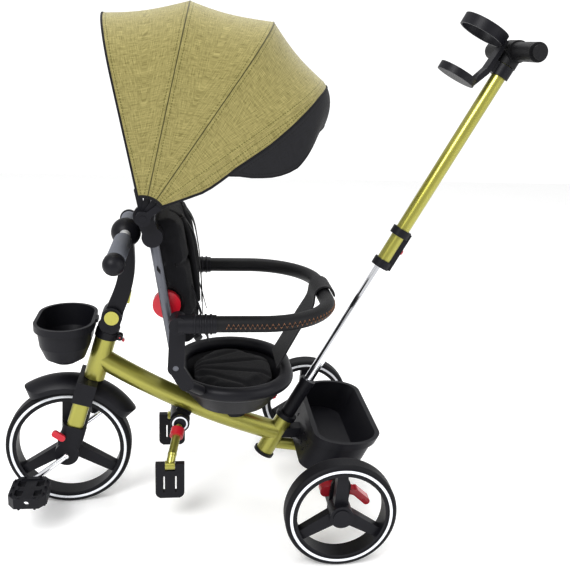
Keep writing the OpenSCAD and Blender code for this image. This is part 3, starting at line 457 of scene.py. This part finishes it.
hood_cloth = cloth_finish("olive_speckled_cloth", (0.16, 0.138, 0.042), (0.58, 0.52, 0.235),
                          650.0, 1.5, stitch=(0.12, 0.11, 0.03))
visor_cloth = cloth_finish("black_visor_cloth", (0.007, 0.007, 0.009), (0.022, 0.022, 0.028),
                           650.0, 1.0, sheen=0.05, rough=0.6, stitch=(0.004, 0.004, 0.004))
seat_cloth = cloth_finish("black_seat_cloth", (0.003, 0.003, 0.0045), (0.011, 0.011, 0.015),
                          600.0, 0.8, sheen=0.06, own_map=False)
webbing = cloth_finish("black_webbing", (0.006, 0.006, 0.007), (0.024, 0.024, 0.028), 420.0, 0.6,
                       rough=0.7, sheen=0.06, stitch=(0.06, 0.06, 0.07))
olive_piping = cloth_finish("olive_seam_piping", (0.05, 0.045, 0.01), (0.14, 0.13, 0.04), 700.0, 0.4,
                            own_map=False)
piping_cloth = cloth_finish("black_piping", (0.006, 0.006, 0.008), (0.018, 0.018, 0.022), 700.0, 0.4,
                            sheen=0.05, own_map=False)
orange_thread = cloth_finish("tan_stitch_thread", (0.26, 0.1, 0.03), (0.5, 0.22, 0.08), 1500.0, 0.5,
                             own_map=False, rough=0.6)
print("cloths ready")

# %% [markdown]
# ## Sheets, tubes and strips
#
# Three shapes come back again and again in sewn work: a sheet that follows
# rows of points, a round cord or piping along a line, and a flat strip. Each
# has a helper. A sheet keeps its own map in metres, so its threads stay the
# same size and its stitching runs along its edge.

# %% Sheet helper
def deselect():
    if bpy.context.object and bpy.context.object.mode != "OBJECT":
        bpy.ops.object.mode_set(mode="OBJECT")
    bpy.ops.object.select_all(action="DESELECT")


def only(piece):
    deselect()
    piece.select_set(True)
    bpy.context.view_layer.objects.active = piece


def finish_modifiers(piece):
    only(piece)
    for step in list(piece.modifiers):
        bpy.ops.object.modifier_apply(modifier=step.name)


def sheet_from_rows(name, rows, material, thickness=0.0014):
    # rows[i][j] are points; the second map value is the distance from the nearer long edge
    count, wide = len(rows), len(rows[0])
    mesh = bpy.data.meshes.new(name)
    faces = [(i * wide + j, i * wide + j + 1, (i + 1) * wide + j + 1, (i + 1) * wide + j)
             for i in range(count - 1) for j in range(wide - 1)]
    mesh.from_pydata([p for row in rows for p in row], [], faces)
    along = [0.0]
    middle = rows[count // 2]
    for j in range(1, wide):
        along.append(along[-1] + (middle[j] - middle[j - 1]).length)
    across = [[0.0] * wide for _ in range(count)]
    for j in range(wide):
        for i in range(1, count):
            across[i][j] = across[i - 1][j] + (rows[i][j] - rows[i - 1][j]).length
    layer = mesh.uv_layers.new(name="cloth")
    for face in mesh.polygons:
        for corner in face.loop_indices:
            vertex = mesh.loops[corner].vertex_index
            i, j = divmod(vertex, wide)
            edge = min(across[i][j], across[-1][j] - across[i][j])
            layer.data[corner].uv = (along[j], edge)
    area = sum(face.area for face in mesh.polygons)
    piece = bpy.data.objects.new(name, mesh)
    bpy.context.scene.collection.objects.link(piece)
    mesh.materials.append(material)
    thick = piece.modifiers.new("thickness", "SOLIDIFY")
    thick.thickness = thickness
    thick.offset = 0.0
    finish_modifiers(piece)
    bpy.ops.object.shade_smooth_by_angle(angle=math.radians(50))
    return piece, area


def tube_along(name, points, radius, material, closed=False, sides=2):
    curve = bpy.data.curves.new(name, "CURVE")
    curve.dimensions = "3D"
    curve.bevel_depth = radius
    curve.bevel_resolution = sides
    curve.use_fill_caps = True
    line = curve.splines.new("POLY")
    line.points.add(len(points) - 1)
    for k, p in enumerate(points):
        line.points[k].co = (p[0], p[1], p[2], 1)
    line.use_cyclic_u = closed
    piece = bpy.data.objects.new(name, curve)
    bpy.context.scene.collection.objects.link(piece)
    only(piece)
    bpy.ops.object.convert(target="MESH")
    piece = bpy.context.view_layer.objects.active
    piece.data.materials.clear()
    piece.data.materials.append(material)
    bpy.ops.object.shade_smooth_by_angle(angle=math.radians(60))
    return piece


print("sewing helpers ready")

# %% Strip helper
def strip(name, points, width, normal_hint, material, thickness=0.0016):
    # a flat ribbon whose face looks along normal_hint
    rows = []
    for k in range(5):
        t = k / 4 - 0.5
        row = []
        for n, p in enumerate(points):
            ahead = points[min(n + 1, len(points) - 1)] - points[max(n - 1, 0)]
            hint = normal_hint[n] if isinstance(normal_hint, list) else normal_hint
            side = ahead.cross(hint).normalized()
            wide = width[n] if isinstance(width, list) else width
            row.append(p + side * (t * wide))
        rows.append(row)
    piece, area = sheet_from_rows(name, rows, material, thickness)
    length = sum((points[k + 1] - points[k]).length for k in range(len(points) - 1))
    return piece, length, area


def smooth_line(points, steps=6):
    # a rounded line through the given points
    out = []
    n = len(points)
    for k in range(n - 1):
        p0, p1, p2, p3 = points[max(k - 1, 0)], points[k], points[k + 1], points[min(k + 2, n - 1)]
        for s in range(steps):
            t = s / steps
            out.append(0.5 * ((2 * p1) + (p2 - p0) * t + (2 * p0 - 5 * p1 + 4 * p2 - p3) * t * t
                              + (3 * p1 - p0 - 3 * p2 + p3) * t * t * t))
    out.append(points[-1].copy())
    return out


print("strip helper ready")

# %% [markdown]
# ## The folding hood
#
# The hood is one cloth stretched over four hoops that share a hinge. Between
# two hoops the cloth can only run straight or a little below straight, which
# gives the scalloped outline of a pram hood. It is cut as one panel between
# each pair of hoops.

# %% Hood outline
HOOPS = [101.5, 77.6, 56.0, 36.6]
REACH = {101.5: 311, 77.6: 336, 56.0: 365, 36.6: 359}
HALF = 194.0
CORNER = 97.0
HEM_LOW = 37.0


def hood_arch(angle, reach, low, count=16, legs=6):
    # from the hem on the near side over the crown to the hem on the far side
    half = []
    for k in range(legs):
        half.append((HALF, low + (reach - CORNER - low) * k / legs))
    for k in range(count):
        turn = math.radians(90 * k / count)
        half.append((HALF - CORNER + CORNER * math.cos(turn), reach - CORNER + CORNER * math.sin(turn)))
    for k in range(6):
        half.append(((HALF - CORNER) * (1 - k / 6), reach))
    whole = [(-y, r) for y, r in half] + [(0.0, reach)] + [(y, r) for y, r in reversed(half)]
    return [(angle, y, r) for y, r in whole]


def hood_rows(first, last, steps=14, sag=5.0):
    rows = []
    r0, r1 = REACH[first] + 5.6, REACH[last] + 5.6
    gap = math.radians(abs(first - last))
    for k in range(steps + 1):
        t = k / steps
        angle = first + (last - first) * t
        a, b = gap * t, gap * (1 - t)
        flat = r0 * r1 * math.sin(gap) / (r0 * math.sin(a) + r1 * math.sin(b))
        row = []
        for _, y, r in hood_arch(angle, flat, HEM_LOW):
            share = r / flat
            dip = sag * math.sin(math.pi * t) * share * share
            slim = 1 - 0.022 * math.sin(math.pi * t) * min(1, share * 1.4)
            row.append(on_hood(angle, y * slim, r - dip))
        rows.append(row)
    return rows


print("hood hoops at", HOOPS, "degrees")

# %% Hood panels
bodies_of_hood = ["canopy_back", "canopy_rear", "canopy_mid", "canopy_front"]
for k in range(3):
    rows = hood_rows(HOOPS[k], HOOPS[k + 1])
    panel, area = sheet_from_rows("hood_panel_%d" % (k + 1), rows, hood_cloth)
    middle = len(rows[0]) // 2
    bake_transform(panel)
    for column, label in ((0, "left"), (-1, "right")):
        binding = tube_along("hood_binding_%d_%s" % (k + 1, label), [row[column] for row in rows],
                             0.0026, piping_cloth)
        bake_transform(binding)
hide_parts("canopy_cover")

# %% [markdown]
# ## The hem and the visor
#
# Below the front hoop the olive cloth goes on as a hem, deepest low on the
# sides. A stiff black brim is sewn to its edge. The brim reaches furthest at
# the sides, is a little shorter over the crown and ends above the hinges.

# %% Hem of the hood
# pairs of reach from the hinge and degrees below the front hoop
HEM = [(37, 0.8), (46, 3.0), (54, 6.6), (75, 9.5), (107, 11.2), (140, 8.8), (169, 6.8), (200, 6.0),
       (231, 5.4), (262, 4.2), (300, 2.8), (340, 1.6), (400, 1.2)]


def hem_drop(reach):
    for (r0, d0), (r1, d1) in zip(HEM, HEM[1:]):
        if reach <= r1:
            return d0 + (d1 - d0) * max(0.0, reach - r0) / (r1 - r0)
    return HEM[-1][1]


front_arch = hood_arch(36.6, REACH[36.6] + 5.6, HEM_LOW, legs=14)
hem_rows = [[on_hood(36.6 - hem_drop(r) * k / 6, y * (1 - 0.004 * k / 6), r) for _, y, r in front_arch]
            for k in range(7)]
hem, area = sheet_from_rows("hood_front_hem", hem_rows, hood_cloth)
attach(hem, "canopy_front")
print("hem", round(area, 4), "square metres")

# %% Visor
def visor_rows(steps=12):
    rows = []
    last = len(front_arch) - 1
    for k in range(steps + 1):
        t = k / steps
        row = []
        for n, (_, y, r) in enumerate(front_arch):
            side = min(n, last - n)
            fall = max(0.0, min(1.0, (side - 7.6) / 6.0))
            fall = math.sqrt(1 - (1 - fall) ** 2)
            crown = max(0.0, min(1.0, (side - 10) / 14))
            total = 18.5 - 8.5 * crown * crown * (3 - 2 * crown)
            drop = (total - hem_drop(r)) * fall
            tuck = (8 * t + 24 * t * t) * fall * crown
            row.append(on_hood(36.4 - hem_drop(r) - drop * t, y * (0.996 - 0.03 * t * t * fall), r - tuck))
        rows.append(row)
    return rows


rows = visor_rows()
visor, area = sheet_from_rows("hood_visor", rows, visor_cloth, thickness=0.002)
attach(visor, "canopy_front")
print("visor area", round(area, 3), "square metres")

# %% Hood piping
def ride_piece(piece, body):
    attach(piece, body)
    return piece


for angle, body in zip(HOOPS[:3], bodies_of_hood):
    line = [on_hood(a, y, r) for a, y, r in hood_arch(angle, REACH[angle] + 5.8, HEM_LOW)]
    plain = body != "canopy_back"
    piping = tube_along("hood_piping_" + body.split("_")[1], line, 0.0011 if plain else 0.0018,
                        olive_piping if plain else piping_cloth)
    ride_piece(piping, body)
ride_piece(tube_along("hood_piping_front", hem_rows[-1], 0.0022, piping_cloth),
           "canopy_front")
ride_piece(tube_along("visor_piping", rows[-1], 0.0017, piping_cloth), "canopy_front")
print("piping sewn along the hoops, the hem and the brim")

# %% [markdown]
# ## The seat cushion
#
# A stuffed cushion bulges where nothing holds it, so it starts as the plain
# solid of the frame, gets an even mesh, and is blown up a little by a cloth
# simulation with pressure. The sewn channels that fan out from the back of
# the seat are pressed in afterwards, because they are narrower than the mesh.

# %% Stuffing helper
def stuffed_copy(name, node, material, voxel=0.006, shrink=0.004, cap=0.007):
    source = frame["nodes"][node]
    piece = bpy.data.objects.new(name, source.data.copy())
    bpy.context.scene.collection.objects.link(piece)
    only(piece)
    piece.hide_render = piece.hide_viewport = False
    bpy.ops.object.mode_set(mode="EDIT")
    bpy.ops.mesh.select_all(action="SELECT")
    bpy.ops.mesh.remove_doubles(threshold=0.00002)
    bpy.ops.mesh.normals_make_consistent(inside=False)
    bpy.ops.transform.shrink_fatten(value=-shrink)
    bpy.ops.object.mode_set(mode="OBJECT")
    even = piece.modifiers.new("even_mesh", "REMESH")
    even.mode = "VOXEL"
    even.voxel_size = voxel
    finish_modifiers(piece)
    before = [v.co.copy() for v in piece.data.vertices]
    cloth = piece.modifiers.new("stuffing", "CLOTH")
    cloth.settings.use_pressure = True
    cloth.settings.uniform_pressure_force = 4.0
    cloth.settings.effector_weights.gravity = 0.0
    cloth.settings.quality = 4
    scene = bpy.context.scene
    for step in range(1, 21):
        scene.frame_set(step)
    only(piece)
    bpy.ops.object.modifier_apply(modifier="stuffing")
    scene.frame_set(1)
    for v, old in zip(piece.data.vertices, before):
        move = v.co - old
        if move.length > cap:
            v.co = old + move * (cap / move.length)
    piece.data.materials.clear()
    piece.data.materials.append(material)
    fine = piece.modifiers.new("fine", "SUBSURF")
    fine.levels = fine.render_levels = 1
    finish_modifiers(piece)
    bpy.ops.object.shade_smooth()
    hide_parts(node)
    return piece


print("stuffing helper ready")

# %% Seat cushion
seat_cushion = stuffed_copy("seat_cushion", "seat_pad", seat_cloth, cap=0.006)
top_of_seat = max(v.co.z for v in seat_cushion.data.vertices)
# the channels fan out from this point at the back of the seat
CHANNEL_STEP = 23.0  # degrees from one channel to the next
fan = at(-285, 0, 0)
for v in seat_cushion.data.vertices:
    if v.normal.z > 0.35:
        turn = math.degrees(math.atan2(v.co.y, v.co.x - fan.x))
        nearest = (math.floor(turn / CHANNEL_STEP) + 0.5) * CHANNEL_STEP
        gap = abs(turn - nearest) * math.radians(1) * (v.co.x - fan.x)
        v.co.z -= 0.0042 * math.exp(-(gap / 0.0055) ** 2)
ride_piece(seat_cushion, "seat")
print("seat cushion top at", round(top_of_seat, 3), "m")

# %% [markdown]
# ## The backrest
#
# The backrest is a thick pad laced between two tubes. Two more pads hang on
# its front for the shoulder straps, and a head pad crosses the top. The
# channels between them are pressed in like those of the seat.

# %% Back cushion
back_cushion = stuffed_copy("back_cushion", "backrest_cushion", seat_cloth, cap=0.007)
middle = on_back(0, 0, 0)
for v in back_cushion.data.vertices:
    local = v.co - middle
    up = -local.x * math.sin(BACK_LEAN) + local.z * math.cos(BACK_LEAN)
    out = local.x * math.cos(BACK_LEAN) + local.z * math.sin(BACK_LEAN)
    if out > 0.03:
        dent = math.exp(-((abs(local.y) - 0.062) / 0.005) ** 2)
        for level in (0.075, 0.17):
            dent = max(dent, math.exp(-((up - level) / 0.005) ** 2))
        push = 0.006 * dent
        v.co.x -= push * math.cos(BACK_LEAN)
        v.co.z -= push * math.sin(BACK_LEAN)
ride_piece(back_cushion, "backrest")
print("back cushion has", len(back_cushion.data.polygons), "faces")

# %% Shoulder pads
def pad_from_strip(name, points, width, thickness, hint, material):
    piece, length, area = strip(name, points, width, hint, material, thickness=thickness)
    soft = piece.modifiers.new("round", "SUBSURF")
    soft.levels = soft.render_levels = 2
    finish_modifiers(piece)
    bpy.ops.object.shade_smooth()
    return piece


forward = on_back(1, 0, 0) - on_back(0, 0, 0)
for side, label in ((-1, "left"), (1, "right")):
    line = smooth_line([on_back(47, side * 50, 236), on_back(55, side * 54, 205),
                        on_back(56, side * 58, 160), on_back(55, side * 60, 115), on_back(52, side * 62, 84)])
    pad = pad_from_strip("shoulder_pad_" + label, line, 0.05, 0.011, forward, seat_cloth)
    ride_piece(pad, "backrest")
print("shoulder pads hung")

# %% [markdown]
# ## Straps
#
# Webbing is flat and stiff, so each strap is a ribbon along a given line.
# Shoulder straps come over the pads, waist straps lie in the seat corners.

# %% Webbing
def webbing_strap(name, points, width, hint, body):
    piece, length, area = strip(name, smooth_line(points), width, hint, webbing, thickness=0.0015)
    ride_piece(piece, body)
    return length


lengths = []
for side, label in ((-1, "left"), (1, "right")):
    lengths.append(webbing_strap(
        "shoulder_strap_" + label,
        [on_back(49, side * 50, 240), on_back(64, side * 54, 205), on_back(66, side * 58, 160),
         on_back(64, side * 60, 112), on_back(59, side * 62, 70), on_back(55, side * 64, 40)],
        0.025, forward, "backrest"))
    lengths.append(webbing_strap(
        "waist_strap_" + label,
        [on_back(54, side * 104, 66), on_back(57, side * 100, 48), on_back(59, side * 92, 30),
         on_back(61, side * 84, 16)],
        0.025, forward, "backrest"))
print("webbing lengths", [round(x, 3) for x in lengths])

# %% [markdown]
# ## The drawcord
#
# A thin black cord hangs in a short loop at the edge of the backrest. It goes
# back into the cloth at both ends, so its length is the whole of the loop.

# %% Drawcord
loop = [(47.6, -110, 128), (49.5, -110.5, 120), (51, -111.5, 108), (52.5, -113, 95), (54, -115, 84),
        (55.5, -118, 77), (57, -122, 76), (57, -126, 82), (55.5, -128.5, 93), (53, -129.5, 106),
        (50.5, -129.5, 118), (48, -129.5, 127)]
cord_line = smooth_line([on_back(*p) for p in loop], steps=4)
drawcord = tube_along("drawcord", cord_line, 0.0014, piping_cloth)
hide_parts("pull_cord")
ride_piece(drawcord, "backrest")

# %% [markdown]
# ## The crotch strap
#
# A wide flap of cloth is buttoned round the nose of the guard ring and runs
# down to the front of the seat.

# %% Crotch strap
nose_x = -13
flap = [(nose_x + 19, GUARD_Z)]
for step in range(1, 7):
    turn = math.radians(30 * step)
    flap.append((nose_x + 19 * math.cos(turn), GUARD_Z + 19 * math.sin(turn)))
flap += [(nose_x - 22, 418), (nose_x - 38, 388), (nose_x - 58, 350), (nose_x - 76, 316), (nose_x - 86, 297)]
flap_line = smooth_line([at(x, 0, z) for x, z in flap], steps=3)
widths = [0.072 + 0.05 * max(0.0, (k / len(flap_line) - 0.5)) for k in range(len(flap_line))]
rows = []
for j in range(9):
    t = j / 8 - 0.5
    rows.append([p + Vector((0, t * w, 0)) for p, w in zip(flap_line, widths)])
crotch_flap, area = sheet_from_rows("crotch_flap", rows, webbing, thickness=0.003)
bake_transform(crotch_flap)
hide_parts("crotch_strap")

# %% [markdown]
# ## The guard ring's sleeve
#
# The ring is foam in a sewn sleeve. The seam runs round its outer side and is
# closed with a coloured zig-zag thread, which is real thread that stands proud
# of the sleeve, so it is modelled as one long fine cord.

# %% Zig-zag seam
guard_half, guard_radius, corner = 186, 14, 130


def ring_outside(lift, inward=0.0):
    # points round the outside of the ring, from the near hub over the nose to the far hub
    across = guard_half + math.sqrt(guard_radius ** 2 - lift ** 2) - inward
    bend = corner + across - guard_half
    path = [(x, -across) for x in range(-206, -143, 4)]
    for k in range(0, 46):
        turn = math.radians(-90 + 2 * k)
        path.append((-143 + bend * math.cos(turn), -56 + bend * math.sin(turn)))
    path += [(-143 + bend, y) for y in range(-54, -33, 4)]
    return path + [(x, -y) for x, y in reversed(path)]


upper, lower = ring_outside(4.2), ring_outside(-4.2)
half = len(upper) // 2
for label, keep in (("left", range(0, half - 8)), ("right", range(half + 8, len(upper)))):
    zigzag = []
    for n in keep:
        x, y = (upper if n % 2 else lower)[n]
        zigzag.append(at(x, y, GUARD_Z + (4.2 if n % 2 else -4.2)))
    thread = tube_along("guard_stitching_" + label, zigzag, 0.0009, orange_thread, sides=1)
    ride_piece(thread, "guard")
    line = [at(x, y, GUARD_Z) for x, y in ring_outside(0.0)][keep.start:keep.stop]
    seam = tube_along("guard_seam_" + label, line, 0.0007, piping_cloth, sides=1)
    ride_piece(seam, "guard")
print("zig-zag seam sewn with", len(upper), "turns")

# %% [markdown]
# ## Rings and ribs
#
# Round trim is turned on a lathe or moulded in a ring. A torus added at its
# place and squeezed flat along its axis is a good start for a reflector band,
# a clamp ring or a rib, and one helper makes them all.

# %% Ring helper
def flat_ring(name, centre, axis, radius, width, height, material, body, ribs=64):
    deselect()
    turn = Vector(axis).normalized().to_track_quat("Z", "Y").to_euler()
    bpy.ops.mesh.primitive_torus_add(
        align="WORLD", location=(0, 0, 0), rotation=(0, 0, 0), major_radius=radius,
        minor_radius=width / 2, major_segments=ribs, minor_segments=12)
    ring = bpy.context.object
    ring.name = ring.data.name = name
    bpy.ops.object.mode_set(mode="EDIT")
    bpy.ops.mesh.select_all(action="SELECT")
    bpy.ops.transform.resize(value=(1, 1, height / width), center_override=(0, 0, 0))
    bpy.ops.object.mode_set(mode="OBJECT")
    ring.rotation_euler = turn
    ring.location = centre
    bpy.ops.object.transform_apply(location=True, rotation=True, scale=True)
    ring.data.materials.append(material)
    bpy.ops.object.shade_smooth()
    ride_piece(ring, body)
    return ring


for label, place, body, radius in (
        ("rear_left", (0, -234, 100), "rear_wheel_left", 0.0890),
        ("rear_right", (0, 234, 100), "rear_wheel_right", 0.0890),
        ("front", (-500, 0, 120), "front_wheel", 0.1090)):
    for side in (-1, 1):
        spot = at(place[0], place[1] + side * 17.35, place[2])
        flat_ring("reflector_%s_%s" % (label, "near" if side < 0 else "far"), spot, (0, 1, 0),
                  radius, 0.0056, 0.0013, reflector_white, body, ribs=128)
print("reflector bands set in the tyres")

# %% Trim rings
for side, label in ((-1, "left"), (1, "right")):
    deselect()
    bpy.ops.mesh.primitive_cylinder_add(vertices=64, radius=0.0185, depth=0.004,
                                        location=at(-284, side * 40.6, 180), rotation=(math.pi / 2, 0, 0))
    disc = bpy.context.object
    disc.name = disc.data.name = "footrest_disc_" + label
    bpy.ops.object.transform_apply(location=True, rotation=True, scale=True)
    soft = disc.modifiers.new("soft_edge", "BEVEL")
    soft.width, soft.segments = 0.0012, 3
    finish_modifiers(disc)
    disc.data.materials.append(black_plastic)
    bpy.ops.object.shade_smooth_by_angle(angle=math.radians(40))
    ride_piece(disc, "footrest")
    flat_ring("footrest_ring_" + label, at(-284, side * 42.5, 180), (0, 1, 0), 0.0135, 0.0036, 0.0012,
              reflector_white, "footrest")
    for k in range(4):
        flat_ring("guard_rib_%s_%d" % (label, k + 1), at(-258 + 9 * k, side * guard_half, GUARD_Z), (1, 0, 0),
                  0.0158, 0.004, 0.004, black_plastic, "guard", ribs=40)
print("trim rings placed")

# %% [markdown]
# ## Floor
#
# The floor goes in last, so it is never mistaken for part of the tricycle.

# %% Floor
deselect()
bpy.ops.mesh.primitive_plane_add(size=8, location=(0, 0, -0.0005))
floor = bpy.context.object
floor.name = "studio_floor"
floor_paper = bpy.data.materials.new("floor_paper")
floor_paper.use_nodes = True
paper = floor_paper.node_tree.nodes["Principled BSDF"]
paper.inputs["Base Color"].default_value = (0.93, 0.93, 0.93, 1)
paper.inputs["Roughness"].default_value = 0.8
paper.inputs["Emission Color"].default_value = (1, 1, 1, 1)
paper.inputs["Emission Strength"].default_value = 0.14
floor.data.materials.append(floor_paper)
print("floor laid")
